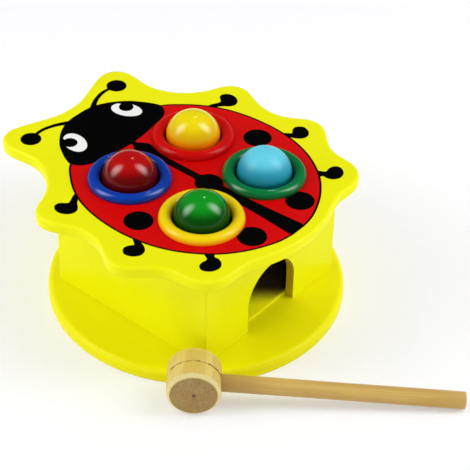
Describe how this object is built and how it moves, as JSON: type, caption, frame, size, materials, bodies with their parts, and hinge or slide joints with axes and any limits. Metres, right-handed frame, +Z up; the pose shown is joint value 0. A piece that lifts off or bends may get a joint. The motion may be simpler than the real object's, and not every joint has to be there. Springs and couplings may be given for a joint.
{
  "type": "ball pounding bench",
  "caption": "Toy pounding bench: ladybird-shaped top plate on an arched box, balls gripped in collars, an inner ramp to the door, a round base and a loose mallet.",
  "frame": {"origin": "centre of the underside of the round base board", "axes": "+Z up, the arched door faces -Y, the ladybird's head points to +Y"},
  "size_m": [0.2285, 0.3707, 0.1215],
  "materials": {
    "yellow_paint": "gloss paint",
    "blue_plastic": "glossy",
    "red_plastic": "glossy",
    "yellow_plastic": "glossy",
    "green_plastic": "glossy",
    "grip_plastic": "satin",
    "red_lacquer": "gloss lacquer",
    "yellow_lacquer": "gloss lacquer",
    "green_lacquer": "gloss lacquer",
    "light_blue_lacquer": "satin lacquer",
    "screw_steel": "zinc plated",
    "plain_wood": "bare",
    "mallet_head_wood": "bare, smoothed",
    "mallet_handle_wood": "bare, smoothed"
  },
  "bodies": {
    "bench": {"base_disc": "yellow_paint", "front_wall": "yellow_paint", "back_wall": "yellow_paint", "left_wall": "yellow_paint", "right_wall": "yellow_paint", "top_plate": "yellow_paint", "ramp_board": "yellow_paint", "ramp_batten": "plain_wood", "left_guide": "plain_wood", "right_guide": "plain_wood", "blue_collar": "blue_plastic", "red_collar": "red_plastic", "yellow_collar": "yellow_plastic", "green_collar": "green_plastic", "blue_collar_grip": "grip_plastic", "red_collar_grip": "grip_plastic", "yellow_collar_grip": "grip_plastic", "green_collar_grip": "grip_plastic", "base_screw_1": "screw_steel", "base_screw_2": "screw_steel", "base_screw_3": "screw_steel", "base_screw_4": "screw_steel", "base_screw_5": "screw_steel", "base_screw_6": "screw_steel", "base_screw_7": "screw_steel", "base_screw_8": "screw_steel", "plate_dowel_1": "plain_wood", "plate_dowel_2": "plain_wood", "plate_dowel_3": "plain_wood", "plate_dowel_4": "plain_wood", "plate_dowel_5": "plain_wood", "plate_dowel_6": "plain_wood", "plate_dowel_7": "plain_wood", "plate_dowel_8": "plain_wood"},
    "red_ball": {"red_ball": "red_lacquer"},
    "yellow_ball": {"yellow_ball": "yellow_lacquer"},
    "green_ball": {"green_ball": "green_lacquer"},
    "light_blue_ball": {"light_blue_ball": "light_blue_lacquer"},
    "mallet": {"mallet_head": "mallet_head_wood", "mallet_handle": "mallet_handle_wood"}
  },
  "joints": [
    {"name": "red_ball_drop", "type": "slide", "parent": "bench", "child": "red_ball", "axis": [0, 0, -1], "range_m": [0, 0.0422], "deforming": ["blue_collar_grip"]},
    {"name": "yellow_ball_drop", "type": "slide", "parent": "bench", "child": "yellow_ball", "axis": [0, 0, -1], "range_m": [0, 0.0422], "deforming": ["red_collar_grip"]},
    {"name": "green_ball_drop", "type": "slide", "parent": "bench", "child": "green_ball", "axis": [0, 0, -1], "range_m": [0, 0.0604], "deforming": ["yellow_collar_grip"]},
    {"name": "light_blue_ball_drop", "type": "slide", "parent": "bench", "child": "light_blue_ball", "axis": [0, 0, -1], "range_m": [0, 0.0604], "deforming": ["green_collar_grip"]},
    {"name": "mallet_lift", "type": "slide", "parent": "bench", "child": "mallet", "axis": [-0.5495, -0.445, 0.7071], "range_m": [0, 0.15]}
  ]
}
